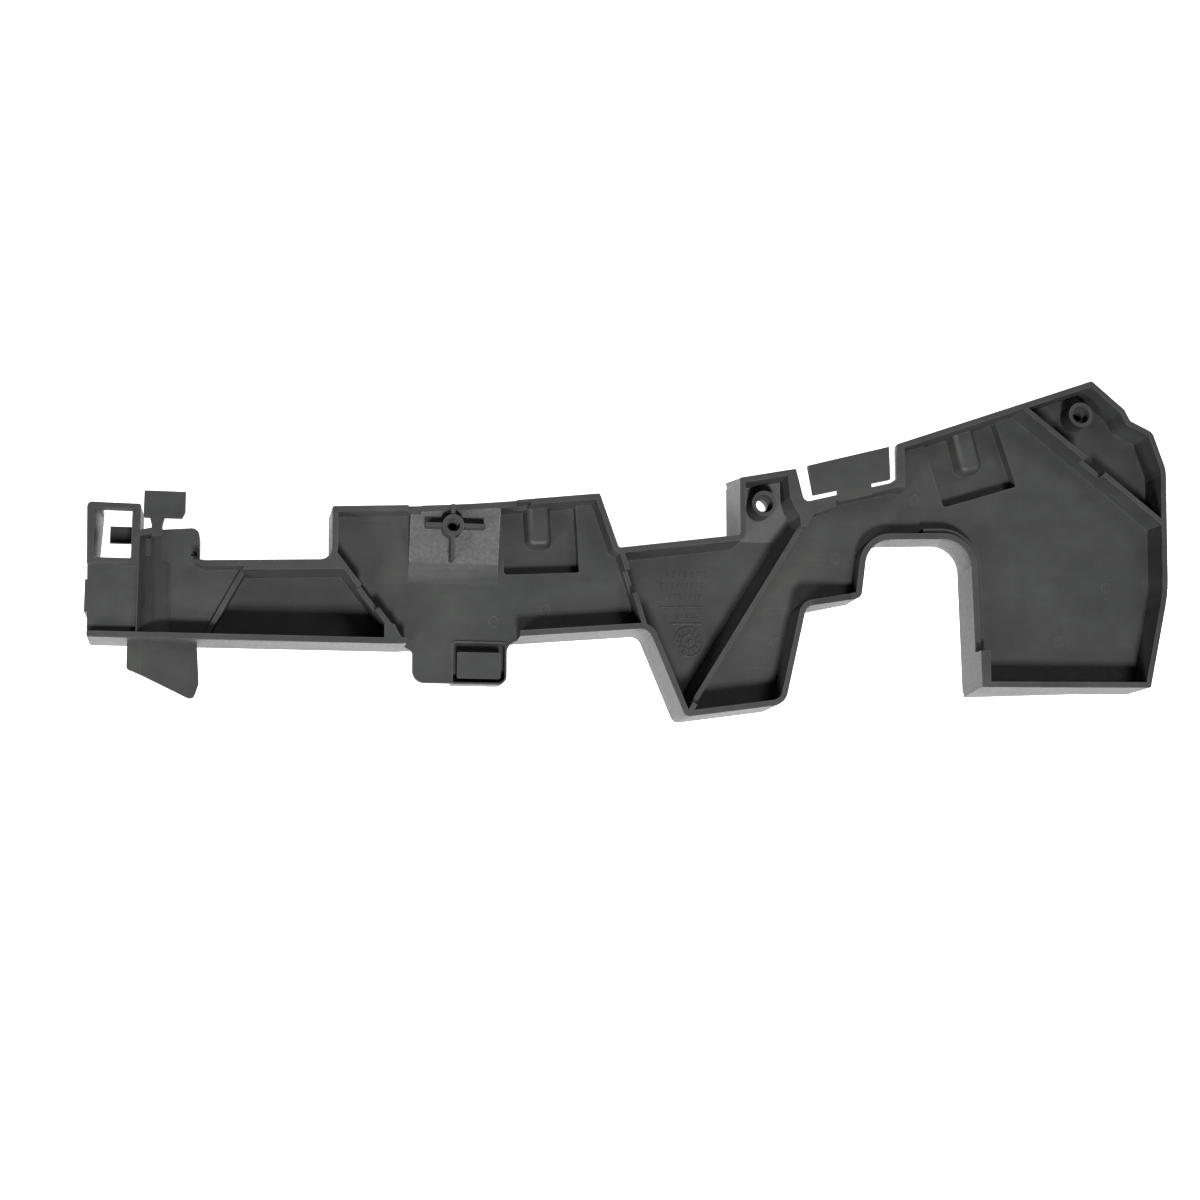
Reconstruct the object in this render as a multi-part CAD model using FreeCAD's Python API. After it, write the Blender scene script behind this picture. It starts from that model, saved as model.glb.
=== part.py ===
import FreeCAD, Part
import math
import os

V = FreeCAD.Vector

# Section lengths along X, left to right
LATCH_L = 44.2
CHANNEL_L = 52.8
TRAY_L = 117.6
VEE_L = 51.6
BOX_L = 24.6
NOTCH_L = 43.1
ARM_L = 123.0

# Widths of the sections along Y, above the lower rail
LATCH_W = 43.4
CHANNEL_W = 31.8
TRAY_W = 55.6
VEE_W = 42.2
BOX_W = 73.6
NOTCH_W = 64.1
ARM_W = 90.7
HORN_W = 31.7
LADDER_W = 54.2
VEE_DROP = 27.6
LEG_DROP = 12.8

# Heights above the back plane
RIM_Z = 24.0
DEEP_FLOOR_Z = 3.0
LATCH_FLOOR_Z = 14.0
TRAY_FLOOR_Z = 13.0
ARM_FLOOR_Z = 9.5
HORN_FLOOR_Z = 8.0
SHELF_Z = 20.0
ARCH_RIM_Z = 17.5
BOX_FLOOR_Z = 11.0
LATCH_RIB_Z = 16.0
NOTCH_DEPTH = 6.0
KEEL_FOOT = 3.5
SIDE_PAD = 1.0

# Thicknesses of the moulding
WALL = 2.4
WEB = 2.6
RIB = 2.0
TAB = 2.4
CHANNEL_WALL = 4.1
DRAFT = 0.4
EDGE_R = 0.8

# Clip pockets with their crowned fingers
POCKET_A_W = 31.6
POCKET_B_W = 35.0
POCKET_L = 29.5
POCKET_DEPTH = 6.0
POCKET_R = 1.2
FINGER_W = 12.2
FINGER_SLOPE = 1.5
FINGER_R = 4.2
FINGER_EDGE_R = 2.2
FINGER_RISE = 7.4
FINGER_GAP = 10.4
FINGER_B_LEAN = -4.6

# Screw bosses
BOSS_D = 10.8
BOSS_SEAT_D = 7.8
BOSS_SEAT_DEPTH = 4.5
CROSS_BOSS_D = 8.8
CROSS_SEAT_D = 5.6
CROSS_BORE_D = 3.6
CROSS_BOSS_Z = 26.0
CROSS_ARMS = ((0, 13.3), (90, 8.8), (180, 11.2), (270, 13.8))
CROSS_RIB = 1.6
CROSS_SEAT_DEPTH = 3.0
BOX_BOSS_Z = 17.5
BOX_BORE_D = 5.2
HORN_BOSS_Z = 18.0
HORN_BORE_D = 4.2

# Arch over the tube that passes under the arm
ARCH_W = 48.6
ARCH_R = 12.0
LEDGE_DROP = 2.0
LEDGE_W = 2.4
BLOCK_L = 5.2

# Walls that lean out towards the back
NOTCH_LEAN = 7.2
NOTCH_RIM = 4.0
BOX_FLARE = 2.6
LEG_FLARE = 1.9

# Ramp of the tray
RAMP_LEFT = 31.7
RAMP_RIGHT = 68.5
RAMP_FOOT_W = 31.0
RAMP_FOOT_R = 26.0
RAMP_LEAN = 18.8
RAMP_TOP_Z = 20.8
TRAY_RIM_Z = 22.0

# Latch ladder at the left end
LADDER_L = 21.0
LADDER_BAR = 2.4
LADDER_POST = 3.3
LADDER_SIDE = 3.3
LADDER_LEAN_LOW = 1.0
LADDER_LEAN_HIGH = 2.3
LADDER_TOP_H = 6.0
LADDER_FOOT = 29.4
LATCH_TONGUE_W = 6.8
LATCH_TONGUE_Z = 7.0
SWEEP_R = 13.0

# Flap under the tray with its socket
FLAP_L = 38.8
FLAP_DROP = 14.4
SOCKET_L = 23.0
SOCKET_W = 17.8
SOCKET_LOW_Z = 5.5
SOCKET_LIP = 0.6
SOCKET_RIM = 0.8
SOCKET_MOAT = 1.7
SOCKET_SLOT = 3.7
SLOT_DEPTH = 6.0

# Flag tabs that stand off the rim
FLAG_L = 35.8
FLAG_W = 14.4
TEE_L = 16.4
TEE_W = 10.8
TEE_NECK = 5.2

# Guide lug under the latch end
LUG_TOP_Z = 21.0
LUG_LOW_Z = 14.0
LUG_SIDE_Z = 18.5
LUG_DROP = 22.6

# Stations worked out from the sizes above
X_CHANNEL = LATCH_L
X_TRAY = X_CHANNEL + CHANNEL_L
X_VEE = X_TRAY + TRAY_L
X_BOX = X_VEE + VEE_L
X_NOTCH = X_BOX + BOX_L
X_ARM = X_NOTCH + NOTCH_L
X_END = X_ARM + ARM_L
ARM_TOP = ARM_W + HORN_W
X_ARCH = X_ARM - 13.4
ARCH_TOP = 51.4
ABOVE = RIM_Z + 10.0


def rounded_wire(corners, z):
    """Closed wire through corners (x, y, radius), each corner an arc."""
    ends = []
    count = len(corners)
    for i, (x, y, radius) in enumerate(corners):
        here = V(x, y, z)
        before = V(corners[i - 1][0], corners[i - 1][1], z) - here
        after = V(corners[(i + 1) % count][0], corners[(i + 1) % count][1], z) - here
        if radius <= 0:
            ends.append((here, None, here))
            continue
        before.normalize()
        after.normalize()
        half = before.getAngle(after) / 2
        back = radius / math.tan(half)
        inward = (before + after).normalize()
        middle = here + inward * (radius / math.sin(half) - radius)
        ends.append((here + before * back, middle, here + after * back))
    edges = []
    for i in range(count):
        start, middle, end = ends[i]
        following = ends[(i + 1) % count][0]
        if middle is not None:
            edges.append(Part.Arc(start, middle, end).toShape())
        if end.distanceToPoint(following) > 1e-6:
            edges.append(Part.LineSegment(end, following).toShape())
    return Part.Wire(edges)


def moved_out(corners, distance):
    """Counter-clockwise outline with each side moved out by a distance."""
    count = len(corners)
    result = []
    for i, (x, y, radius) in enumerate(corners):
        bx, by = corners[i - 1][0], corners[i - 1][1]
        ax, ay = corners[(i + 1) % count][0], corners[(i + 1) % count][1]
        into = V(x - bx, y - by, 0).normalize()
        out = V(ax - x, ay - y, 0).normalize()
        turn = into.x * out.y - into.y * out.x
        bend = 1 + into.dot(out)
        shift_x = (into.y + out.y) / bend * distance
        shift_y = -(into.x + out.x) / bend * distance
        grown = radius
        if radius > 0:
            grown = max(radius + math.copysign(1, turn) * distance, 0.2)
        result.append((x + shift_x, y + shift_y, grown))
    return result


def prism(corners, low, high):
    """Straight block over an outline between two heights."""
    face = Part.Face(rounded_wire(corners, low))
    return face.extrude(V(0, 0, high - low))


def tapered(corners, low, low_out, high, high_out):
    """Drafted block: the outline moved out by one distance at each height."""
    bottom = rounded_wire(moved_out(corners, low_out), low)
    top = rounded_wire(moved_out(corners, high_out), high)
    return Part.makeLoft([bottom, top], True, True)


def sharp(points):
    """Corners without rounding."""
    return [(x, y, 0) for x, y in points]


def rounded_block(x0, x1, y0, y1, radius):
    """Corners of a rectangle with one radius."""
    return [(x0, y0, radius), (x1, y0, radius), (x1, y1, radius), (x0, y1, radius)]


def along(start, end, thickness, low, high, reach=0.0):
    """Upright plate of a thickness on the line between two points."""
    run = V(end[0] - start[0], end[1] - start[1], 0)
    length = run.Length
    plate = Part.makeBox(length + 2 * reach, thickness, high - low, V(-reach, -thickness / 2, low))
    plate.rotate(V(0, 0, 0), V(0, 0, 1), math.degrees(math.atan2(run.y, run.x)))
    plate.translate(V(start[0], start[1], 0))
    return plate


def box(x0, x1, y0, y1, z0, z1):
    return Part.makeBox(x1 - x0, y1 - y0, z1 - z0, V(x0, y0, z0))


def reached(line, extra):
    """Both ends of a line pushed outwards, so that it crosses the walls."""
    (x0, y0), (x1, y1) = line
    run = V(x1 - x0, y1 - y0, 0).normalize()
    return (x0 - run.x * extra, y0 - run.y * extra), (x1 + run.x * extra, y1 + run.y * extra)


def between(start, end, part):
    """Point at a part of the way from one point to another."""
    return start[0] + (end[0] - start[0]) * part, start[1] + (end[1] - start[1]) * part


def placed(shape, x, y, turn):
    """A shape made at the origin, turned about Z and moved to its place."""
    shape = shape.copy()
    shape.rotate(V(0, 0, 0), V(0, 0, 1), turn)
    shape.translate(V(x, y, 0))
    return shape


# Outline of the moulding at the rim, counter-clockwise from the lower left corner
OUTLINE = [
    (1.6, 0.0, EDGE_R),
    (X_TRAY + 27.8, 0.0, 0),
    (X_VEE + 12.4, 8.8, 5.0),
    (X_VEE + 27.6, -VEE_DROP, 3.0),
    (X_BOX + 18.4, -VEE_DROP + 6.0, 7.0),
    (X_NOTCH + 3.4, 19.6, 4.0),
    (X_ARCH - 0.4, 25.2, 3.2),
    (X_ARCH + 3.0, ARCH_TOP - 1.2, ARCH_R),
    (X_ARCH + ARCH_W, ARCH_TOP + 0.6, ARCH_R),
    (X_ARCH + ARCH_W + 1.2, -LEG_DROP, EDGE_R),
    (X_END - 11.0, -LEG_DROP + 1.2, EDGE_R),
    (X_END - 1.4, 30.0, 60.0),
    (X_END, 84.0, 14.0),
    (X_END - 5.6, 100.6, 4.0),
    (X_END - 15.6, ARM_TOP - 17.2, 1.0),
    (X_END - 18.2, ARM_TOP - 12.2, 1.2),
    (X_END - 32.8, ARM_TOP, 1.6),
    (X_ARM + 1.2, ARM_W, EDGE_R),
    (X_ARM, NOTCH_W + 10.1, 2.5),
    (X_NOTCH + 3.2, NOTCH_W, 2.5),
    (X_NOTCH - 0.2, BOX_W + 4.8, EDGE_R),
    (X_BOX, BOX_W, EDGE_R),
    (X_BOX, VEE_W + 7.1, 1.5),
    (X_VEE, VEE_W, 1.2),
    (X_VEE - 8.0, TRAY_W + 9.2, EDGE_R),
    (X_TRAY + 53.0, TRAY_W + 2.6, 700.0),
    (X_TRAY - 0.3, TRAY_W, EDGE_R),
    (X_TRAY, CHANNEL_W + 2.0, 5.0),
    (X_CHANNEL, CHANNEL_W, 2.5),
    (X_CHANNEL - 0.3, LATCH_W + 3.2, 3.0),
    (LADDER_L + 8.5, LATCH_W + 2.0, 0),
    (LADDER_L, LATCH_W, 0),
    (LADDER_L, LADDER_W - 0.3, EDGE_R),
    (0.0, LADDER_W, 2.0),
]

# Lines of the dividing ribs, each from its lower to its upper end
SHELF_EDGE = ((LADDER_L - 0.5, 0.0), (LADDER_L - 0.5, LADDER_FOOT))
LATCH_RIB = ((X_CHANNEL + 2.6, 0.9), (X_CHANNEL + 17.1, CHANNEL_W - 3.5))
TRAY_RIB = ((X_TRAY + 29.4, 0.0), (X_TRAY + 1.9, CHANNEL_W + 3.3))
VEE_RIB = ((X_VEE + 10.8, 10.1), (X_VEE + 0.8, VEE_W - 0.2))
KEEL_RIB = ((X_VEE + 28.6, -VEE_DROP + 0.6), (X_NOTCH + 4.7, NOTCH_W - 7.2))
HORN_RIB = ((X_END - 2.9, 60.9), (X_END - 61.6, ARM_TOP - 15.1))


def floor_zones():
    """Plan outlines between the dividing ribs, each with the height of its floor."""
    shelf = reached(SHELF_EDGE, 10)
    latch = reached(LATCH_RIB, 14)
    tray = reached(TRAY_RIB, 30)
    vee = reached(VEE_RIB, 30)
    keel = reached(KEEL_RIB, 12)
    horn = reached(HORN_RIB, 20)
    far = (X_END + 30, -60)
    over_notch = (X_NOTCH, BOX_W + 30)
    over_box = (X_BOX - 9, BOX_W + 30)
    return {
        "latch": (sharp([shelf[0], latch[0], latch[1], (shelf[1][0], LATCH_W + 10)]), LATCH_FLOOR_Z),
        "channel": (sharp([latch[0], tray[0], tray[1], latch[1]]), DEEP_FLOOR_Z),
        "tray": (sharp([tray[0], vee[0], vee[1], tray[1]]), TRAY_FLOOR_Z),
        "vee": (sharp([vee[0], keel[0], keel[1], over_notch, over_box, vee[1]]), DEEP_FLOOR_Z),
        "arm": (sharp([keel[0], far, horn[0], horn[1], keel[1]]), ARM_FLOOR_Z),
        "horn": (sharp([horn[0], (X_END + 30, ARM_TOP + 30), horn[1]]), HORN_FLOOR_Z),
    }


def channel_band():
    """Plan of the channel below its thick upper wall."""
    return sharp([
        (0, -20),
        (X_TRAY + 60, -20),
        (X_TRAY + 60, CHANNEL_W + 4.4 - CHANNEL_WALL),
        (0, CHANNEL_W - 1.8 - CHANNEL_WALL),
    ])


def latch_sweep():
    """Front cut of the latch bay, whose floor sweeps up to the shelf."""
    x0 = SHELF_EDGE[0][0]
    centre_z = LATCH_FLOOR_Z + SWEEP_R
    top = centre_z
    mid = V(x0 + SWEEP_R * (1 - math.cos(math.pi / 4)), 0, centre_z - SWEEP_R * math.sin(math.pi / 4))
    foot = V(x0 + SWEEP_R, 0, LATCH_FLOOR_Z)
    head = V(x0, 0, top)
    right = X_TRAY
    edges = [
        Part.Arc(head, mid, foot).toShape(),
        Part.LineSegment(foot, V(right, 0, LATCH_FLOOR_Z)).toShape(),
        Part.LineSegment(V(right, 0, LATCH_FLOOR_Z), V(right, 0, top)).toShape(),
        Part.LineSegment(V(right, 0, top), head).toShape(),
    ]
    sweep = Part.Face(Part.Wire(edges)).extrude(V(0, LATCH_W + 20, 0))
    sweep.translate(V(0, -5, 0))
    return sweep


def tray_ramp(drop):
    """Wedge from the tray floor up to the top edge, with a rounded foot, lowered by a drop."""
    y_foot = RAMP_FOOT_W
    y_top = TRAY_W + 6.0
    lean = math.radians(RAMP_LEAN)
    low = TRAY_FLOOR_Z - drop
    reach = RAMP_FOOT_R * math.tan(lean / 2)
    start = V(0, y_foot - reach, low)
    middle = start + V(0, RAMP_FOOT_R * math.sin(lean / 2), RAMP_FOOT_R * (1 - math.cos(lean / 2)))
    end = V(0, y_foot + reach * math.cos(lean), low + reach * math.sin(lean))
    top = V(0, y_top, low + (y_top - y_foot) * math.tan(lean))
    back = V(0, y_top, low)
    face = Part.Face(Part.Wire([
        Part.Arc(start, middle, end).toShape(),
        Part.LineSegment(end, top).toShape(),
        Part.LineSegment(top, back).toShape(),
        Part.LineSegment(back, start).toShape(),
    ]))
    left = X_TRAY + RAMP_LEFT + drop
    right = X_TRAY + RAMP_RIGHT - drop
    wedge = face.extrude(V(right - left, 0, 0))
    wedge.translate(V(left, 0, 0))
    return wedge


def pocket(place, grow=0.0, low=None):
    """Clip pocket from its lower left corner, turned with the rim above it."""
    x, y, turn, floor, width, lean = place
    corners = [
        (-grow, -grow, POCKET_R + grow),
        (width + grow, -grow, POCKET_R + grow),
        (width + grow, POCKET_L + 12, 0),
        (-grow, POCKET_L + 12, 0),
    ]
    bottom = floor if low is None else low
    return placed(prism(corners, bottom, ABOVE), x, y, turn)


def finger(place, edge_r, drop=0.0, inset=0.0):
    """Crowned finger that stands in a clip pocket and runs under the rim."""
    x, y, turn, floor, width, lean = place
    half = FINGER_W / 2 - inset
    corners = [
        (-half, inset, FINGER_R - inset),
        (half, inset, FINGER_R - inset),
        (half, POCKET_L + 12, 0),
        (-half, POCKET_L + 12, 0),
    ]
    top = floor - drop + FINGER_RISE
    body = tapered(corners, floor - drop - WEB, 0, top, -FINGER_SLOPE)
    if edge_r > 0:
        crown = [e for e in body.Edges if min(v.Z for v in e.Vertexes) > top - 1e-6]
        crown = [e for e in crown if min(v.Y for v in e.Vertexes) < POCKET_L]
        body = body.makeFillet(edge_r, crown)
    body = placed(body, 0, 0, lean)
    body.translate(V(width / 2, FINGER_GAP, 0))
    return placed(body, x, y, turn)


def ring_boss(x, y, low, high, outer_d, seat_d, seat_depth):
    """Screw boss with a counterbored seat; its bore is cut later."""
    boss = Part.makeCone(outer_d / 2 + 0.3, outer_d / 2, high - low, V(x, y, low))
    seat = Part.makeCylinder(seat_d / 2, seat_depth + 1, V(x, y, high - seat_depth))
    return boss.cut(seat)


# Clip pockets: lower left corner, turn, floor height, width and lean of the finger
POCKETS = [
    (X_TRAY + 71.2, 31.2, 3.4, TRAY_FLOOR_Z - POCKET_DEPTH, POCKET_A_W, 0.0),
    (X_ARM + 26.3, 66.8, 17.4, ARM_FLOOR_Z - POCKET_DEPTH, POCKET_B_W, FINGER_B_LEAN),
]
CROSS_BOSS = (X_TRAY + 48.7, 49.1)
BOX_BOSS = (X_BOX + 12.2, 64.3)
HORN_BOSS = (X_END - 35.8, ARM_TOP - 13.8)


def shell():
    """Drafted outer body cut to its floors, with a hollow back under the raised ones."""
    outer = tapered(OUTLINE, 0, DRAFT, RIM_Z, 0)
    front = tapered(OUTLINE, 0, -WALL - DRAFT, ABOVE, -WALL + DRAFT / RIM_Z * (ABOVE - RIM_Z))
    back = tapered(OUTLINE, -1, DRAFT - WALL, RIM_Z, -WALL)
    body = outer
    for name, (plan, floor) in floor_zones().items():
        cut = front.common(prism(plan, floor, ABOVE))
        if name == "latch":
            cut = cut.common(latch_sweep())
        if name == "channel":
            cut = cut.common(prism(channel_band(), floor, ABOVE))
        body = body.cut(cut)
        if floor > 2 * WEB:
            room = prism(moved_out(plan, -RIB / 2), -1, floor - WEB)
            body = body.cut(back.common(room))
    return outer, front, back, body


def dividing_ribs(outer):
    """Slanting ribs between the floors, lowered where the neighbours' clips pass."""
    lines = [
        (LATCH_RIB, LATCH_RIB_Z, None),
        (TRAY_RIB, RIM_Z, (0.40, 0.66)),
        (VEE_RIB, RIM_Z, (0.42, 0.72)),
        (KEEL_RIB, RIM_Z, (0.06, 1.0)),
        (HORN_RIB, RIM_Z, (0.44, 0.58)),
    ]
    ribs = []
    for (low_end, high_end), top, notch in lines:
        rib = along(low_end, high_end, RIB, 0, top, 3.0)
        if notch is not None:
            start = between(low_end, high_end, notch[0])
            end = between(low_end, high_end, notch[1])
            rib = rib.cut(along(start, end, RIB * 2, top - NOTCH_DEPTH, ABOVE))
        ribs.append(rib.common(outer))
    return ribs


def keel_flank(outer, plan):
    """Slope on the deep side of the keel rib."""
    low_end, high_end = KEEL_RIB
    length = math.hypot(high_end[0] - low_end[0], high_end[1] - low_end[1])
    turn = math.degrees(math.atan2(high_end[1] - low_end[1], high_end[0] - low_end[0]))
    face = Part.Face(Part.makePolygon([
        V(0, 0, DEEP_FLOOR_Z - 1),
        V(0, KEEL_FOOT + RIB / 2, DEEP_FLOOR_Z - 1),
        V(0, RIB / 2, RIM_Z - NOTCH_DEPTH - 4),
        V(0, 0, RIM_Z - NOTCH_DEPTH - 4),
        V(0, 0, DEEP_FLOOR_Z - 1),
    ]))
    flank = placed(face.extrude(V(length, 0, 0)), low_end[0], low_end[1], turn)
    return flank.common(outer).common(prism(plan, 0, ABOVE))


def shelf(body, back):
    """Raised shelf beside the ladder, open to the left."""
    edge = SHELF_EDGE[0][0]
    body = body.cut(box(-10, edge, WALL, LADDER_FOOT, SHELF_Z, ABOVE))
    body = body.fuse(box(1.0 - SIDE_PAD, WALL, 10.5, 23.5, 3.0, SHELF_Z))
    room = box(-5, edge - RIB / 2, -5, LADDER_FOOT - 1, -1, SHELF_Z - WEB)
    return body.cut(back.common(room))


def ladder(body):
    """Window of the latch ladder with the tongue that stands in it, under a thin top bar."""
    low_y = LADDER_FOOT + LADDER_BAR
    high_y = LADDER_W - LADDER_BAR
    right = LADDER_L - LADDER_POST
    foot = [
        (LADDER_SIDE + LADDER_LEAN_LOW, low_y, 0.6),
        (right, low_y, 0.6),
        (right, high_y, 0.6),
        (LADDER_SIDE + LADDER_LEAN_HIGH, high_y, 0.6),
    ]
    head = rounded_block(LADDER_SIDE, right, low_y, high_y, 0.6)
    window = Part.makeLoft([rounded_wire(foot, -0.5), rounded_wire(head, RIM_Z + 0.5)], True, True)
    body = body.cut(window)
    under = box(LADDER_SIDE + LADDER_LEAN_HIGH, right, high_y - 1, LADDER_W + 1, -1, RIM_Z - LADDER_TOP_H)
    body = body.cut(under)
    middle = LADDER_FOOT + 14.7
    half = LATCH_TONGUE_W / 2
    left = LADDER_L - 12.6
    tongue = box(left, right + 1, middle - half, middle + half, LATCH_TONGUE_Z - TAB, LATCH_TONGUE_Z)
    return body.fuse(tongue)


def latch_bay(body):
    """Open edge of the latch bay, with the tee tab on its neck, a gusset and a clip mark."""
    neck = LADDER_L + 3.9
    open_x = neck + TEE_NECK - 0.6
    body = body.cut(box(open_x, X_CHANNEL + 1.0, CHANNEL_W + 0.2, LATCH_W + 8, LATCH_FLOOR_Z, ABOVE))
    left = LADDER_L + 1.1
    low = LATCH_W + 5.2
    plate = prism([
        (left, low, 0.8),
        (left + TEE_L - 1.2, low, 0.4),
        (left + TEE_L, low + 2.6, 0.4),
        (left + TEE_L, low + TEE_W, 0.4),
        (left, low + TEE_W, 0.4),
    ], RIM_Z - TAB, RIM_Z)
    stem = prism(sharp([
        (neck + 0.9, LATCH_W - WALL),
        (open_x, LATCH_W - WALL),
        (neck + TEE_NECK - 0.4, LATCH_W + 2.4),
        (neck + TEE_NECK + 0.6, low + 1),
        (neck - 0.6, low + 1),
        (neck + 0.4, LATCH_W + 2.4),
    ]), RIM_Z - TAB, RIM_Z)
    low_y = LADDER_FOOT + 4.4
    gusset = box(LADDER_L - 1, LADDER_L + 4.0, low_y, low_y + 7.0, LATCH_FLOOR_Z, SHELF_Z - 1.0)
    mark = box(X_CHANNEL - 3.5, X_CHANNEL - 0.9, LATCH_W - 8.4, LATCH_W - 6.2, LATCH_FLOOR_Z - 1.6, ABOVE)
    return body.fuse(plate).fuse(stem).fuse(gusset).cut(mark)


def guide_lug():
    """Folded guide lug under the latch bay."""
    left = LADDER_L - 3.9
    fold = left + 5.7
    right = left + 28.4
    plan = prism([
        (left, -LUG_DROP + 10.8, 1.6),
        (right - 2.2, -LUG_DROP - 1.0, 2.2),
        (right, -LUG_DROP + 6.0, 5.0),
        (right - 1.4, WALL - 0.6, 0),
        (left, WALL - 0.6, 0),
    ], 0, RIM_Z)
    roof = [(left - 1, LUG_SIDE_Z), (fold, LUG_TOP_Z), (right + 1, LUG_LOW_Z)]
    under = [(x, z - TAB) for x, z in reversed(roof)]
    points = [V(x, 0, z) for x, z in roof + under + roof[:1]]
    sheet = Part.Face(Part.makePolygon(points)).extrude(V(0, 60, 0))
    sheet.translate(V(0, -40, 0))
    return plan.common(sheet)


def clip_pockets(body, outer, front):
    """Sunk clip pockets with hollow crowned fingers."""
    for place in POCKETS:
        floor = place[3]
        cup = pocket(place, WALL, floor - WEB)
        cup = cup.common(prism(OUTLINE, 0, floor + POCKET_DEPTH))
        body = body.fuse(cup)
        body = body.cut(pocket(place).common(front))
        body = body.fuse(finger(place, FINGER_EDGE_R).common(outer))
        body = body.cut(finger(place, 0, WEB, WALL * 0.75).common(front))
    return body


def cross_boss(body):
    """Screw boss on its four ribs, on the ramp of the tray."""
    x, y = CROSS_BOSS
    low = TRAY_FLOOR_Z - 1
    body = body.fuse(ring_boss(x, y, low, CROSS_BOSS_Z, CROSS_BOSS_D, CROSS_SEAT_D, CROSS_SEAT_DEPTH))
    for angle, reach in CROSS_ARMS:
        away = V(math.cos(math.radians(angle)), math.sin(math.radians(angle)), 0)
        root = (CROSS_SEAT_D + CROSS_BOSS_D) / 4
        start = (x + away.x * root, y + away.y * root)
        end = (x + away.x * reach, y + away.y * reach)
        body = body.fuse(along(start, end, CROSS_RIB, low, CROSS_BOSS_Z - 0.6))
    return body.cut(Part.makeCylinder(CROSS_BORE_D / 2, CROSS_BOSS_Z, V(x, y, TRAY_FLOOR_Z)))


def tray(body, outer):
    """Ramp to the open top edge, with the breaks in the rim above it."""
    body = body.fuse(tray_ramp(0).common(outer))
    inside = prism(moved_out(OUTLINE, -WALL), 0, RIM_Z)
    body = body.cut(tray_ramp(WEB).common(inside))
    left = X_TRAY + 30.6
    low_end = X_TRAY + 75.0
    body = body.cut(box(left, left + 5.4, TRAY_W - 3, TRAY_W + 9, RAMP_TOP_Z, ABOVE))
    body = body.cut(box(left + 5.3, low_end, TRAY_W - 3, TRAY_W + 9, TRAY_RIM_Z, ABOVE))
    floor = TRAY_FLOOR_Z - POCKET_DEPTH
    nook = box(low_end, low_end + 5.8, TRAY_W - 6, TRAY_W + 9, floor, ABOVE)
    nook = nook.common(prism(moved_out(OUTLINE, -0.9), 0, ABOVE))
    return cross_boss(body.cut(nook))


def flap(body):
    """Flap that carries the tray floor out through the lower rim, with its socket."""
    left = X_TRAY + 33.8
    right = left + FLAP_L
    body = body.cut(box(X_TRAY + 30.4, right + 4.2, -5, 9.0, TRAY_FLOOR_Z, ABOVE))
    plate = prism([
        (left, -FLAP_DROP, 5.0),
        (right, -FLAP_DROP, 4.0),
        (right, 1.8, 5.0),
        (right + 8, 5.6, 0),
        (left - 4.6, 5.6, 0),
        (left - 4.6, 0.6, 0),
        (left, -1.6, 2.0),
    ], TRAY_FLOOR_Z - WEB, TRAY_FLOOR_Z)
    return socket(body.fuse(plate), right)


def socket(body, end):
    """Raised panel in a moat, with a deep slot along its upper side."""
    start = end - SOCKET_L
    low = -FLAP_DROP - 0.3
    high = low + SOCKET_W
    lip = TRAY_FLOOR_Z + SOCKET_LIP
    block = prism([
        (start, low, 1.0),
        (end, low, 3.8),
        (end, high, 1.6),
        (start, high, 1.6),
    ], SOCKET_LOW_Z, lip)
    inner = [
        (start + SOCKET_RIM, low + SOCKET_RIM, 0.6),
        (end - SOCKET_RIM, low + SOCKET_RIM, 3.0),
        (end - SOCKET_RIM, high - SOCKET_RIM, 1.6),
        (start + SOCKET_RIM, high - SOCKET_RIM, 1.6),
    ]
    floor = lip - SLOT_DEPTH
    panel_high = high - SOCKET_RIM - SOCKET_SLOT
    edge = SOCKET_RIM + SOCKET_MOAT
    panel = rounded_block(start + edge, end - edge, low + edge, panel_high, 0.8)
    moat = prism(inner, floor, ABOVE).cut(prism(panel, 0, TRAY_FLOOR_Z))
    core = prism(moved_out(panel, -WALL), 0, TRAY_FLOOR_Z - WEB)
    return body.fuse(block).cut(moat).cut(core)


def bay_wedge(low, high):
    """Wedge over the box bay, rising towards its upper wall."""
    y0 = VEE_W + 7.8
    y1 = BOX_W + 6
    face = Part.Face(Part.makePolygon([V(0, y0, low), V(0, y1, low), V(0, y1, high), V(0, y0, low)]))
    wedge = face.extrude(V(NOTCH_L, 0, 0))
    wedge.translate(V(X_BOX + 0.5, 0, 0))
    return wedge


def box_bay(body, outer):
    """Sloping floor of the box bay and its through boss, cored from the back."""
    x, y = BOX_BOSS
    plan = floor_zones()["vee"][0]
    body = body.fuse(bay_wedge(DEEP_FLOOR_Z, BOX_FLOOR_Z + 1).common(outer).common(prism(plan, 0, RIM_Z)))
    inside = prism(moved_out(OUTLINE, -WALL), -1, RIM_Z).common(prism(moved_out(plan, -RIB), -1, RIM_Z))
    room = bay_wedge(DEEP_FLOOR_Z - WEB, BOX_FLOOR_Z + 1 - WEB)
    room = room.fuse(box(X_BOX, X_ARM, VEE_W + 7.8, BOX_W + 6, -1, DEEP_FLOOR_Z - WEB)).common(inside)
    body = body.cut(room)
    seat = BOX_BOSS_Z - BOSS_SEAT_DEPTH
    body = body.fuse(ring_boss(x, y, DEEP_FLOOR_Z - 0.5, BOX_BOSS_Z, BOSS_D, BOSS_SEAT_D, BOSS_SEAT_DEPTH))
    body = body.cut(Part.makeCylinder(BOX_BORE_D / 2, RIM_Z, V(x, y, 0)))
    core = Part.makeCone(BOSS_SEAT_D / 2 + 0.6, BOX_BORE_D / 2 + 0.5, seat - WEB + 1, V(x, y, -1))
    return body.cut(core).fuse(flared_wall(
        (X_BOX, BOX_W), (X_NOTCH - 0.2, BOX_W + 4.8), BOX_FLARE, BOX_FLARE, RIM_Z))


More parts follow.
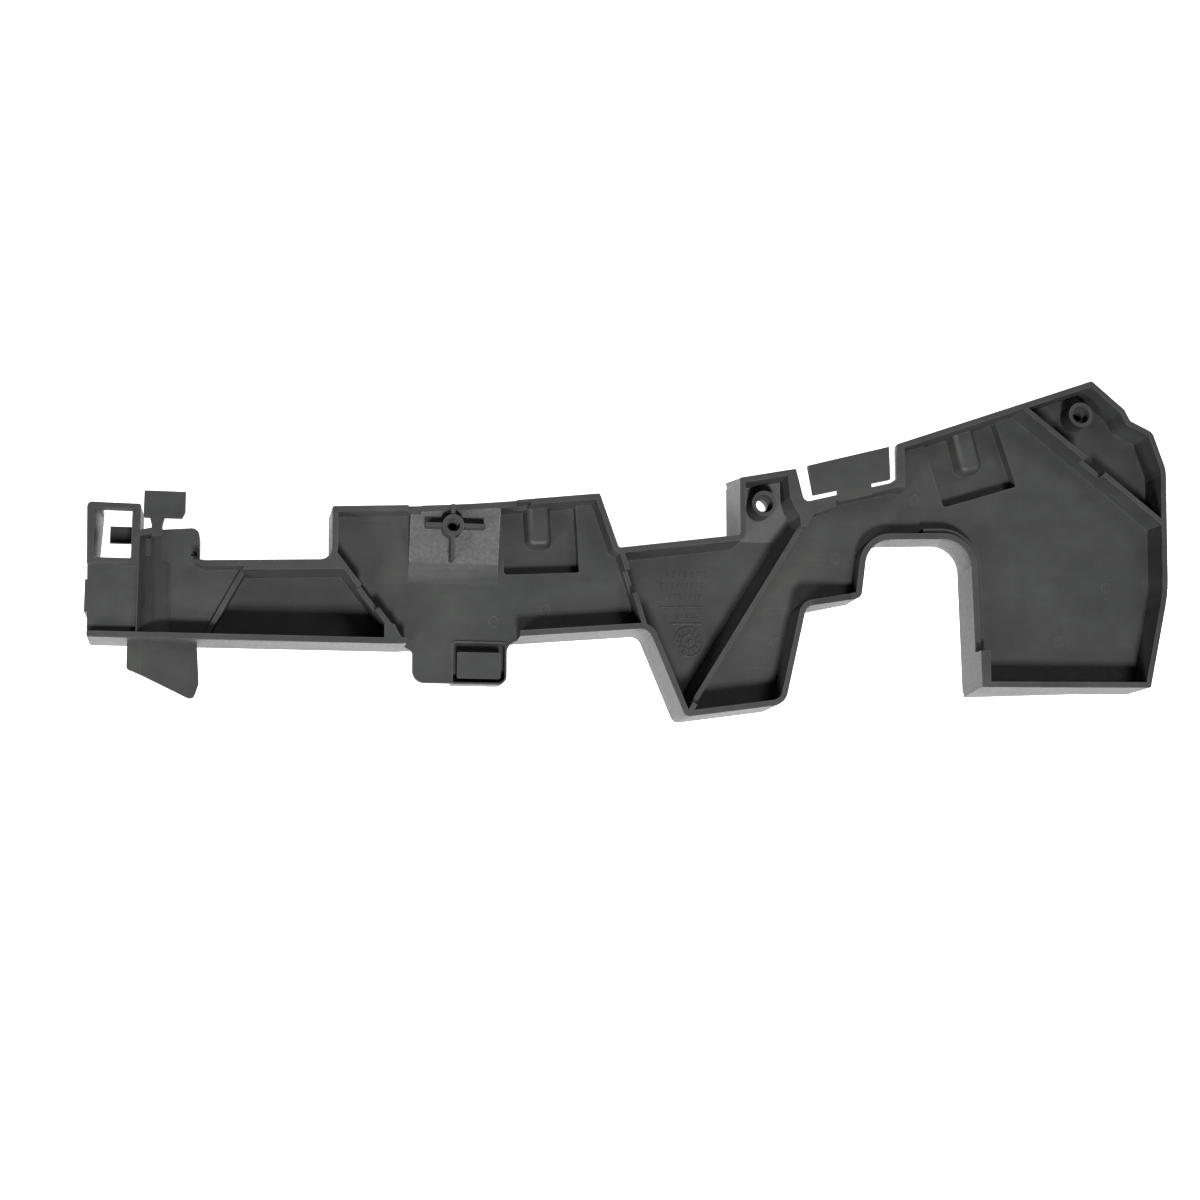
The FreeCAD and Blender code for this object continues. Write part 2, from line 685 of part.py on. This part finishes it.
def flared_wall(start, end, start_flare, end_flare, top):
    """Wedge on the outside of a wall, from its top edge out to a flared foot; the wall runs clockwise."""
    run = V(end[0] - start[0], end[1] - start[1], 0).normalize()
    out = V(-run.y, run.x, 0)
    first = V(start[0], start[1], 0)
    last = V(end[0], end[1], 0)
    lift = V(0, 0, top - EDGE_R)
    inward = out * -WALL
    foot = Part.makePolygon([
        first + inward,
        first + out * start_flare,
        last + out * end_flare,
        last + inward,
        first + inward,
    ])
    crest = Part.makePolygon([
        first + inward + lift,
        first - out * 0.1 + lift,
        last - out * 0.1 + lift,
        last + inward + lift,
        first + inward + lift,
    ])
    return Part.makeLoft([foot, crest], True, True)


def notch_walls(body, outer):
    """Wide rims on both sides of the notch; the arm's side leans away towards the back."""
    low = (X_NOTCH - 3.0, NOTCH_W + 2.0)
    high = (X_NOTCH - 0.2 - NOTCH_RIM, BOX_W + 5.0)
    strip = [low, (X_NOTCH + 1.4, NOTCH_W + 2.0), (X_NOTCH - 1.2, BOX_W + 5.0), high]
    body = body.fuse(prism(sharp(strip), DEEP_FLOOR_Z, RIM_Z).common(outer))
    rim = X_ARM + 0.5
    floor_x = rim + NOTCH_LEAN * (RIM_Z - ARM_FLOOR_Z) / RIM_Z + WALL
    low_y = NOTCH_W + 8.0
    high_y = ARM_W + 6.0
    web = Part.Face(Part.makePolygon([
        V(rim - 2, low_y, 0),
        V(rim + NOTCH_LEAN + WALL, low_y, 0),
        V(floor_x, low_y, ARM_FLOOR_Z),
        V(rim + NOTCH_RIM, low_y, RIM_Z),
        V(rim - 2, low_y, RIM_Z),
        V(rim - 2, low_y, 0),
    ])).extrude(V(0, high_y - low_y, 0))
    body = body.fuse(web.common(outer))
    cut_y = NOTCH_W + 11.0
    away = Part.Face(Part.makePolygon([
        V(rim - 6, cut_y, -1),
        V(rim + NOTCH_LEAN * (RIM_Z + 1) / RIM_Z, cut_y, -1),
        V(rim, cut_y, RIM_Z),
        V(rim - 6, cut_y, RIM_Z),
        V(rim - 6, cut_y, -1),
    ])).extrude(V(0, high_y + 4 - cut_y, 0))
    return body.cut(away)


def flag(body):
    """Flag tab over the notch, on its neck."""
    x = X_NOTCH + 5.0
    slope = 9.4 / FLAG_L
    low = NOTCH_W + 3.2
    plate = prism([
        (x + 2.3, low, 0.3),
        (x + FLAG_L + 0.3, low + 8.0, 0.3),
        (x + FLAG_L, low + 8.0 + FLAG_W - 0.2, 0.3),
        (x, low + 12.6, 0.3),
    ], RIM_Z - TAB, RIM_Z)
    neck_x = x + 12.9
    neck_low = NOTCH_W + 3.6 - WALL
    neck = prism(sharp([
        (neck_x, neck_low - 0.6),
        (neck_x + 14.8, neck_low + 14.8 * slope - 0.6),
        (neck_x + 14.8, neck_low + 8.6),
        (neck_x, neck_low + 5.2),
    ]), RIM_Z - TAB, RIM_Z)
    return body.fuse(plate).fuse(neck)


def arch(body, outer):
    """Lowered rim round the arch, its inner ledge, the corner block and the flared foot of the leg."""
    right = X_ARCH + ARCH_W
    block_y = 2.7
    left = X_ARCH - 5.0
    region = [
        (left, 24.0),
        (X_ARCH + 10.0, 24.0),
        (right - 10, block_y),
        (right + 8, block_y),
        (right + 8, ARCH_TOP + 7),
        (left, ARCH_TOP + 7),
    ]
    ledge_z = ARCH_RIM_Z - LEDGE_DROP
    ledge = prism(moved_out(OUTLINE, -WALL / 2), ARM_FLOOR_Z - 1, ledge_z)
    ledge = ledge.cut(prism(moved_out(OUTLINE, -WALL - LEDGE_W), 0, ABOVE))
    side = box(X_ARCH + ARCH_W / 2 + 4, right + 8, block_y, ARCH_TOP + 7, 0, ABOVE)
    body = body.fuse(ledge.common(side))
    block = box(right, right + BLOCK_L, -LEG_DROP + 1, block_y, ARM_FLOOR_Z - 1, RIM_Z)
    body = body.fuse(block.common(outer))
    body = body.cut(prism(sharp(region), ARCH_RIM_Z, ABOVE))
    slope = Part.Face(Part.makePolygon([
        V(X_NOTCH + 6, 10, RIM_Z),
        V(left, 10, ARCH_RIM_Z),
        V(X_ARCH + 4, 10, ARCH_RIM_Z),
        V(X_ARCH + 4, 10, ABOVE),
        V(X_NOTCH + 6, 10, ABOVE),
        V(X_NOTCH + 6, 10, RIM_Z),
    ])).extrude(V(0, 18.5, 0))
    body = body.cut(slope)
    foot = flared_wall((X_END - 27.0, -LEG_DROP + 0.9), (right + 1.2, -LEG_DROP), 0.1, LEG_FLARE, RIM_Z)
    return body.fuse(foot)


def horn_boss(body):
    """Blind screw boss in the horn corner."""
    x, y = HORN_BOSS
    body = body.fuse(ring_boss(x, y, HORN_FLOOR_Z - 1, HORN_BOSS_Z, BOSS_D, BOSS_SEAT_D, BOSS_SEAT_DEPTH))
    return body.cut(Part.makeCylinder(HORN_BORE_D / 2, HORN_BOSS_Z, V(x, y, HORN_FLOOR_Z)))


def build():
    """The whole moulding, with its origin under the middle of its box."""
    outer, front, back, body = shell()
    body = body.multiFuse(dividing_ribs(outer))
    body = body.fuse(keel_flank(outer, floor_zones()["vee"][0]))
    stub = [
        (X_NOTCH - 1.0, NOTCH_W - 2.5, 0),
        (X_NOTCH + 1.2, NOTCH_W - 5.6, 2.0),
        (X_NOTCH + 1.6, NOTCH_W - 10.5, 0.4),
        (X_NOTCH + 4.6, NOTCH_W - 10.2, 0.4),
        (X_NOTCH + 6.4, NOTCH_W - 5.4, 3.0),
        (X_NOTCH + 17.0, NOTCH_W - 1.4, 0),
        (X_NOTCH + 17.0, NOTCH_W + 4.0, 0),
        (X_NOTCH - 3.0, NOTCH_W + 2.2, 0),
    ]
    body = body.fuse(prism(stub, DEEP_FLOOR_Z - 1, RIM_Z).common(outer))
    foot = [(X_TRAY + 21.5, 1.0), (X_TRAY + 29.0, 1.0), (X_TRAY + 25.5, 8.0), (X_TRAY + 21.5, 8.0)]
    body = body.fuse(prism(sharp(foot), DEEP_FLOOR_Z - 1, RIM_Z))
    body = shelf(body, back)
    body = latch_bay(body)
    body = ladder(body)
    body = body.fuse(guide_lug())
    body = tray(body, outer)
    body = clip_pockets(body, outer, front)
    body = flap(body)
    body = box_bay(body, outer)
    body = notch_walls(body, outer)
    body = flag(body)
    body = arch(body, outer)
    body = horn_boss(body)
    body = body.removeSplitter()
    span = body.optimalBoundingBox(False)
    body.translate(V(-span.Center.x, -span.Center.y, -span.ZMin))
    print("left rail corner at", round(-span.Center.x, 3), round(-span.Center.y, 3), round(-span.ZMin, 3))
    return body


os.makedirs("parts", exist_ok=True)
bracket = build()
print("solids", len(bracket.Solids), "valid", bracket.isValid(), "volume", round(bracket.Volume))
bracket.exportStep("parts/bracket_moulding.step")
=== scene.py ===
import bpy
import bmesh
import math
from mathutils import Matrix, Vector


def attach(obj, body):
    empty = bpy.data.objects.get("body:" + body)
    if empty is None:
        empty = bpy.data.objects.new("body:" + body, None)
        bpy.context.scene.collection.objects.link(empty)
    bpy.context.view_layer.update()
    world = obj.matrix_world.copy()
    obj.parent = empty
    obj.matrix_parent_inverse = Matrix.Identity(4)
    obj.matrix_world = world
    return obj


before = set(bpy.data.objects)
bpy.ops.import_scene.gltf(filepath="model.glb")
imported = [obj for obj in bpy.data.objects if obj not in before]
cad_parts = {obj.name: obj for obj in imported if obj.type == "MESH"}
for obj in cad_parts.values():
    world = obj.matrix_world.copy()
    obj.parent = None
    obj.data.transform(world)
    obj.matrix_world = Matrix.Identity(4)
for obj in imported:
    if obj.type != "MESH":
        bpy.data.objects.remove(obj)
bpy.context.view_layer.update()

MM = 0.001
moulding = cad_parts["bracket_moulding"]
scene = bpy.context.scene

# Camera above the open side, left of the middle and nearer the lower side
CAMERA_AT = Vector((-169.751, -161.541, 872.0)) * MM
CAMERA_LOOKS_AT = Vector((-19.751, -25.541, 12.0)) * MM
PHOTO_PIXELS = 1200
PIXELS_PER_MM = 2.4
SENSOR_WIDTH = 36

# Softboxes: name, place in metres, side of the square and power
SOFT_LAMPS = [
    ("key", (0.0, -1.49, 2.13), 0.4, 72),
    ("side", (-1.62, -1.62, 1.22), 0.7, 45),
    ("fill", (1.05, 1.05, 2.13), 0.9, 10),
]
FLOOR_HALF_WIDTH = 6.0
FLOOR_DROP = 0.05
FLOOR_TONE = (0.86, 0.86, 0.85, 1)
FLOOR_ROUGHNESS = 0.9
FLOOR_GLOW = 1.55
SKY_TONE = (0.97, 0.985, 1.0, 1)
SKY_STRENGTH = 0.05

# Black plastic: darkest and lightest tone of the mottling, and the tone of the lighter edges, which is
# partly rubbed wear and partly painted highlight
DARK_TONE = (0.0275, 0.0295, 0.0280, 1)
LIGHT_TONE = (0.0405, 0.0425, 0.0400, 1)
RUBBED_AND_HIGHLIGHT_TONE = (0.10, 0.10, 0.098, 1)
# Radius of the edge mask that carries the painted edge highlight and the rubbed wear
RUBBED_AND_HIGHLIGHT_EDGE = 0.9
FLOW_ANGLE = math.radians(28)

# Rounding of the moulding's edges, and the step under which corners are merged
EDGE_EASE = 0.3
EDGE_ANGLE = math.radians(30)
MERGE_STEP = 0.002

# Floor heights of the moulding above its back, and how deep relief is set into them
VEE_FLOOR = 3.0
ARM_FLOOR = 9.5
TRAY_FLOOR = 13.0
SET_IN = 0.1

# Round marks that the ejector pins leave: middle, floor height and diameter in millimetres
PIN_MARKS = [
    (-73.6, -18.1, TRAY_FLOOR, 5.0),
    (-64.4, -36.0, TRAY_FLOOR, 5.0),
    (-43.0, -30.5, TRAY_FLOOR, 5.0),
    (82.9, -4.2, ARM_FLOOR, 5.0),
    (56.1, -41.3, ARM_FLOOR, 5.0),
    (118.5, 22.3, ARM_FLOOR, 5.0),
    (182.0, -38.0, ARM_FLOOR, 5.0),
    (205.0, -14.0, ARM_FLOOR, 5.0),
    (210.7, -52.7, ARM_FLOOR, 1.6),
]
PIN_RISE = 0.07
PIN_RIM_RISE = 0.13
PIN_RIM_W = 0.26
PIN_SEGMENTS = 56

# Raised mould marks in the vee: rows of plain figures, two lines and a dial
DIAL_AT = (19.8, -41.0)
DIAL_R = 6.4
DIAL_RISE = 0.5
DIAL_EDGE = 0.1
MONTHS = 12
MONTH_TURN = 2 * math.pi / MONTHS
MONTH_HEIGHT = 1.55
HUB_R = DIAL_R * 0.46
POINTER_TURN = math.radians(38)
POINTER_L = 3.2
BARB_L = 1.3
BARB_TURN = math.radians(150)
# Each row of figures: text, middle and height
FIGURE_ROWS = [
    ("1 2 3 4 5 6 7 8", 17.6, -12.6, 3.4),
    ("9 10 11 12 13", 17.2, -17.4, 3.4),
    ("14 15 16 17", 17.6, -22.2, 3.4),
    ("18 19 20", 18.4, -30.4, 3.0),
]
FIGURE_RISE = 0.45
# Each line: left end and length
RULE_LINES = [
    (7.6, -26.6, 19.0),
    (11.8, -33.6, 13.6),
]
RULE_W = 0.8
RULE_RISE = 0.4
ROW_TURN = math.radians(1.6)


def photo_camera():
    """Camera with the upper rim of the bracket at the top of the picture."""
    away = CAMERA_AT - CAMERA_LOOKS_AT
    distance = away.length
    back = away.normalized()
    right = Vector((0, 1, 0)).cross(back).normalized()
    up = back.cross(right)
    lens = bpy.data.cameras.new("photo_camera")
    lens.sensor_width = SENSOR_WIDTH
    lens.lens = SENSOR_WIDTH * PIXELS_PER_MM * distance / MM / PHOTO_PIXELS
    lens.clip_start = 0.01
    lens.clip_end = 20
    camera = bpy.data.objects.new("photo_camera", lens)
    turn = Matrix((right, up, back)).transposed().to_4x4()
    camera.matrix_world = Matrix.Translation(CAMERA_AT) @ turn
    scene.collection.objects.link(camera)
    scene.camera = camera


def soft_lamp(name, at, size, power):
    """Square softbox that shines towards the middle of the bracket."""
    light = bpy.data.lights.new(name, "AREA")
    light.shape = "SQUARE"
    light.size = size
    light.energy = power
    lamp = bpy.data.objects.new(name, light)
    lamp.rotation_mode = "QUATERNION"
    lamp.location = at
    lamp.rotation_quaternion = (-Vector(at)).to_track_quat("-Z", "Y")
    scene.collection.objects.link(lamp)


def studio():
    """Bright pale floor under soft lamps, the strongest from the lower side of the picture."""
    world = bpy.data.worlds.new("studio")
    world.use_nodes = True
    sky = world.node_tree.nodes["Background"]
    sky.inputs["Color"].default_value = SKY_TONE
    sky.inputs["Strength"].default_value = SKY_STRENGTH
    scene.world = world
    scene.view_settings.view_transform = "Standard"

    bm = bmesh.new()
    bmesh.ops.create_grid(bm, x_segments=1, y_segments=1, size=FLOOR_HALF_WIDTH)
    mesh = bpy.data.meshes.new("floor")
    bm.to_mesh(mesh)
    bm.free()
    floor = bpy.data.objects.new("floor", mesh)
    mesh.transform(Matrix.Translation((0, 0, -FLOOR_DROP * MM)))
    scene.collection.objects.link(floor)
    pale = bpy.data.materials.new("pale_floor")
    pale.use_nodes = True
    shader = pale.node_tree.nodes["Principled BSDF"]
    shader.inputs["Base Color"].default_value = FLOOR_TONE
    shader.inputs["Roughness"].default_value = FLOOR_ROUGHNESS
    shader.inputs["Emission Color"].default_value = (1, 1, 1, 1)
    shader.inputs["Emission Strength"].default_value = FLOOR_GLOW
    mesh.materials.append(pale)

    for lamp in SOFT_LAMPS:
        soft_lamp(*lamp)


def added(tree, kind, at, **values):
    """A node of a kind, with its properties or its inputs set by name."""
    node = tree.nodes.new(kind)
    node.location = at
    for name, value in values.items():
        if hasattr(node, name):
            setattr(node, name, value)
        else:
            node.inputs[name.replace("_", " ")].default_value = value
    return node


def ramp(tree, source, at, low, high, low_value, high_value):
    """Value from one socket mapped between two limits."""
    node = added(tree, "ShaderNodeMapRange", at)
    tree.links.new(source, node.inputs["Value"])
    node.inputs["From Min"].default_value = low
    node.inputs["From Max"].default_value = high
    node.inputs["To Min"].default_value = low_value
    node.inputs["To Max"].default_value = high_value
    return node.outputs["Result"]


def maths(tree, operation, at, first, second):
    """Two values joined by an operation; each is a socket or a number."""
    node = added(tree, "ShaderNodeMath", at, operation=operation)
    for i, value in enumerate((first, second)):
        if isinstance(value, (int, float)):
            node.inputs[i].default_value = value
        else:
            tree.links.new(value, node.inputs[i])
    return node.outputs[0]


def noise(tree, place, at, scale, detail, roughness=0.5, stretch=None):
    """Noise over the object's own coordinates, drawn out along one direction if asked."""
    if stretch is not None:
        drawn_out = added(tree, "ShaderNodeMapping", (at[0] - 200, at[1]))
        drawn_out.inputs["Scale"].default_value = stretch
        drawn_out.inputs["Rotation"].default_value = (0, 0, FLOW_ANGLE)
        tree.links.new(place, drawn_out.inputs["Vector"])
        place = drawn_out.outputs["Vector"]
    node = added(tree, "ShaderNodeTexNoise", at, Scale=scale, Detail=detail, Roughness=roughness)
    tree.links.new(place, node.inputs["Vector"])
    return node.outputs["Fac"]


def black_plastic():
    """Semi-matte black moulded plastic with fine grain, flow mottling, scuffs, and edges lightened partly
    by rubbed wear and partly by a painted highlight.
    """
    material = bpy.data.materials.new("black_moulded_plastic")
    material.use_nodes = True
    tree = material.node_tree
    shader = tree.nodes["Principled BSDF"]
    place = added(tree, "ShaderNodeTexCoord", (-1600, 0)).outputs["Object"]

    mottle = noise(tree, place, (-1300, 300), 24, 4, 0.55)
    patches = noise(tree, place, (-1300, 100), 110, 5, 0.6)
    grain = noise(tree, place, (-1300, -400), 2600, 3, 0.6)
    pores = noise(tree, place, (-1300, -600), 700, 2, 0.5)
    flow = noise(tree, place, (-1300, 500), 70, 3, 0.5, (0.22, 1.5, 1.0))
    hairs = noise(tree, place, (-1300, 700), 420, 2, 0.5, (0.05, 2.2, 1.0))

    # Mask of sharp edges: lightens them with a painted highlight along the rims, mixed with rubbed wear
    # in patches
    true_face = added(tree, "ShaderNodeNewGeometry", (-1600, -900)).outputs["Normal"]
    eased = added(tree, "ShaderNodeBevel", (-1600, -1100), samples=6)
    eased.inputs["Radius"].default_value = RUBBED_AND_HIGHLIGHT_EDGE * MM
    bend = added(tree, "ShaderNodeVectorMath", (-1300, -950), operation="DOT_PRODUCT")
    tree.links.new(true_face, bend.inputs[0])
    tree.links.new(eased.outputs["Normal"], bend.inputs[1])
    edge = ramp(tree, bend.outputs["Value"], (-1100, -950), 0.995, 0.86, 0.0, 1.0)
    rub_and_highlight_patches = ramp(tree, patches, (-1100, -1150), 0.38, 0.62, 0.25, 1.0)
    wear_and_highlight = maths(tree, "MULTIPLY", (-900, -1000), edge, rub_and_highlight_patches)
    scuffs = ramp(tree, hairs, (-1100, 700), 0.66, 0.76, 0.0, 1.0)
    scuffed_areas = ramp(tree, mottle, (-1100, 900), 0.5, 0.62, 0.0, 1.0)
    scuffed = maths(tree, "MULTIPLY", (-900, 700), scuffs, scuffed_areas)

    tone = added(tree, "ShaderNodeValToRGB", (-1000, 300))
    tree.links.new(mottle, tone.inputs["Fac"])
    tone.color_ramp.elements[0].position = 0.34
    tone.color_ramp.elements[0].color = DARK_TONE
    tone.color_ramp.elements[1].position = 0.68
    tone.color_ramp.elements[1].color = LIGHT_TONE
    flecks = added(tree, "ShaderNodeMix", (-700, 250), data_type="RGBA", blend_type="MULTIPLY")
    flecks.inputs[0].default_value = 1.0
    shade = added(tree, "ShaderNodeCombineColor", (-900, 100))
    level = ramp(tree, patches, (-1100, 100), 0.3, 0.7, 0.86, 1.12)
    streaked = ramp(tree, flow, (-1100, 500), 0.35, 0.65, 0.93, 1.07)
    level = maths(tree, "MULTIPLY", (-1000, 50), level, streaked)
    for channel in ("Red", "Green", "Blue"):
        tree.links.new(level, shade.inputs[channel])
    tree.links.new(tone.outputs["Color"], flecks.inputs[6])
    tree.links.new(shade.outputs["Color"], flecks.inputs[7])
    # Painted edge highlight and rubbed wear, with light scratches, mixed over the base tone
    worn_and_lit = added(tree, "ShaderNodeMix", (-450, 250), data_type="RGBA")
    rub_and_highlight = maths(tree, "MULTIPLY", (-650, -100), wear_and_highlight, 0.5)
    scratch = maths(tree, "MULTIPLY", (-650, 50), scuffed, 0.28)
    tree.links.new(maths(tree, "MAXIMUM", (-550, 0), rub_and_highlight, scratch), worn_and_lit.inputs[0])
    tree.links.new(flecks.outputs[2], worn_and_lit.inputs[6])
    worn_and_lit.inputs[7].default_value = RUBBED_AND_HIGHLIGHT_TONE
    tree.links.new(worn_and_lit.outputs[2], shader.inputs["Base Color"])

    satin = ramp(tree, mottle, (-1000, -100), 0.3, 0.7, 0.53, 0.64)
    speck = ramp(tree, pores, (-1000, -300), 0.3, 0.7, -0.05, 0.05)
    rough = maths(tree, "ADD", (-700, -250), satin, speck)
    polished = maths(tree, "MULTIPLY", (-700, -420), wear_and_highlight, -0.10)
    tree.links.new(maths(tree, "ADD", (-450, -250), rough, polished), shader.inputs["Roughness"])

    fine = added(tree, "ShaderNodeBump", (-450, -500), Strength=0.35, Distance=0.05 * MM)
    tree.links.new(grain, fine.inputs["Height"])
    broad = added(tree, "ShaderNodeBump", (-200, -500), Strength=0.25, Distance=0.25 * MM)
    tree.links.new(patches, broad.inputs["Height"])
    tree.links.new(fine.outputs["Normal"], broad.inputs["Normal"])
    tree.links.new(broad.outputs["Normal"], shader.inputs["Normal"])
    shader.inputs["Specular IOR Level"].default_value = 0.5
    return material


def eased_edges(piece):
    """Small rounding on every sharp edge, after the corners are merged."""
    join = piece.modifiers.new("join", "WELD")
    join.merge_threshold = MERGE_STEP * MM
    edges = piece.modifiers.new("eased_edges", "BEVEL")
    edges.width = EDGE_EASE * MM
    edges.segments = 2
    edges.limit_method = "ANGLE"
    edges.angle_limit = EDGE_ANGLE
    edges.harden_normals = True
    edges.use_clamp_overlap = True


def relief(name, bm):
    """Piece of raised relief in the moulding's own plastic, from a finished bmesh in millimetres."""
    bmesh.ops.scale(bm, vec=(MM, MM, MM), verts=bm.verts)
    bmesh.ops.recalc_face_normals(bm, faces=bm.faces)
    mesh = bpy.data.meshes.new(name)
    bm.to_mesh(mesh)
    bm.free()
    piece = bpy.data.objects.new(name, mesh)
    scene.collection.objects.link(piece)
    mesh.materials.append(plastic)
    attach(piece, "root")


def softened(bm, edges, width):
    """Rounds some edges of a bmesh."""
    bmesh.ops.bevel(
        bm, geom=list(edges), offset=width, segments=2,
        affect="EDGES", profile=0.5, material=-1,
    )


def top_edges(bm, new_faces):
    """Edges round the upward faces of what was made last."""
    bm.normal_update()
    return {e for f in new_faces if f.normal.z > 0.9 for e in f.edges}


def disc(bm, x, y, low, high, radius, segments, edge):
    """Flat round plate with a rounded upper edge."""
    before = set(bm.faces)
    bmesh.ops.create_cone(
        bm, cap_ends=True, segments=segments, radius1=radius, radius2=radius, depth=high - low,
        matrix=Matrix.Translation((x, y, (low + high) / 2)),
    )
    softened(bm, top_edges(bm, set(bm.faces) - before), edge)


def ring(bm, x, y, low, high, inner, outer, segments, edge):
    """Round ring with an upper face between two radii."""
    place = Matrix.Translation((x, y, low))
    loops = []
    for radius in (inner, outer):
        made = bmesh.ops.create_circle(bm, cap_ends=False, segments=segments, radius=radius, matrix=place)
        loops += list({e for v in made["verts"] for e in v.link_edges})
    base = bmesh.ops.bridge_loops(bm, edges=loops)["faces"]
    grown = bmesh.ops.extrude_face_region(bm, geom=base)["geom"]
    tops = {g for g in grown if isinstance(g, bmesh.types.BMFace)}
    raised = [g for g in grown if isinstance(g, bmesh.types.BMVert)]
    bmesh.ops.translate(bm, vec=(0, 0, high - low), verts=raised)
    rims = {e for f in tops for e in f.edges if len(tops.intersection(e.link_faces)) == 1}
    softened(bm, rims, edge)


def bar(bm, x, y, low, high, length, width, turn, edge):
    """Straight raised bar that starts at a point and runs along a direction."""
    before = set(bm.faces)
    place = Matrix.Translation((x, y, (low + high) / 2)) @ Matrix.Rotation(turn, 4, "Z")
    place = place @ Matrix.Translation((length / 2, 0, 0))
    size = Matrix.Diagonal((length, width, high - low, 1))
    bmesh.ops.create_cube(bm, size=1, matrix=place @ size)
    softened(bm, top_edges(bm, set(bm.faces) - before), edge)


def figures(bm, text, x, y, low, rise, height, turn):
    """Raised figures set on the floor of the moulding."""
    curve = bpy.data.curves.new("figures", "FONT")
    curve.body = text
    curve.size = height
    curve.align_x = "CENTER"
    curve.align_y = "CENTER"
    curve.extrude = rise / 2
    curve.resolution_u = 3
    holder = bpy.data.objects.new("figures", curve)
    scene.collection.objects.link(holder)
    bpy.context.view_layer.update()
    mesh = bpy.data.meshes.new_from_object(holder)
    bpy.data.objects.remove(holder)
    bpy.data.curves.remove(curve)
    place = Matrix.Translation((x, y, low + rise / 2)) @ Matrix.Rotation(turn, 4, "Z")
    mesh.transform(place)
    bm.from_mesh(mesh)
    bpy.data.meshes.remove(mesh)
    bmesh.ops.remove_doubles(bm, verts=bm.verts, dist=0.0005)


def pin_marks():
    """Faint round witness marks of the ejector pins, the wide ones with a thin raised rim."""
    bm = bmesh.new()
    for x, y, floor, width in PIN_MARKS:
        low = floor - SET_IN
        disc(bm, x, y, low, floor + PIN_RISE, width / 2, PIN_SEGMENTS, 0.05)
        if width > 2:
            outer = width / 2 - 0.02
            ring(bm, x, y, low, floor + PIN_RIM_RISE, outer - PIN_RIM_W, outer, PIN_SEGMENTS, 0.04)
    relief("ejector_pin_marks", bm)


def mould_dial():
    """Month dial of the mould: two rings, twelve figures, ticks and a pointer."""
    bm = bmesh.new()
    x, y = DIAL_AT
    middle = Vector(DIAL_AT)
    low = VEE_FLOOR - SET_IN
    high = VEE_FLOOR + DIAL_RISE
    ring(bm, x, y, low, high, DIAL_R - 0.5, DIAL_R, 72, DIAL_EDGE)
    ring(bm, x, y, low, high, HUB_R, HUB_R + 0.4, 56, DIAL_EDGE)
    for month in range(1, MONTHS + 1):
        turn = math.pi / 2 - MONTH_TURN * month
        away = Vector((math.cos(turn), math.sin(turn)))
        at = middle + away * DIAL_R * 0.72
        figures(bm, str(month), at.x, at.y, low, DIAL_RISE + 0.02, MONTH_HEIGHT, turn - math.pi / 2)
        start = middle + away * (HUB_R + 0.3)
        bar(bm, start.x, start.y, low, high - 0.1, 0.5, 0.16, turn, 0.04)
    along = Vector((math.cos(POINTER_TURN), math.sin(POINTER_TURN)))
    tail = middle - along * POINTER_L / 2
    bar(bm, tail.x, tail.y, low, high, POINTER_L, 0.45, POINTER_TURN, DIAL_EDGE)
    tip = middle + along * 1.55
    for side in (1, -1):
        bar(bm, tip.x, tip.y, low, high, BARB_L, 0.42, POINTER_TURN + side * BARB_TURN, DIAL_EDGE)
    relief("mould_dial", bm)


def figure_rows():
    """Rows of plain raised figures with two lines under them."""
    bm = bmesh.new()
    low = VEE_FLOOR - SET_IN
    for text, x, y, height in FIGURE_ROWS:
        figures(bm, text, x, y, low, FIGURE_RISE, height, ROW_TURN)
    for x, y, length in RULE_LINES:
        bar(bm, x, y, low, VEE_FLOOR + RULE_RISE, length, RULE_W, ROW_TURN, 0.12)
    relief("figure_rows", bm)


photo_camera()
studio()
plastic = black_plastic()
for slot in moulding.material_slots:
    slot.material = plastic
eased_edges(moulding)
pin_marks()
mould_dial()
figure_rows()

bpy.context.view_layer.update()
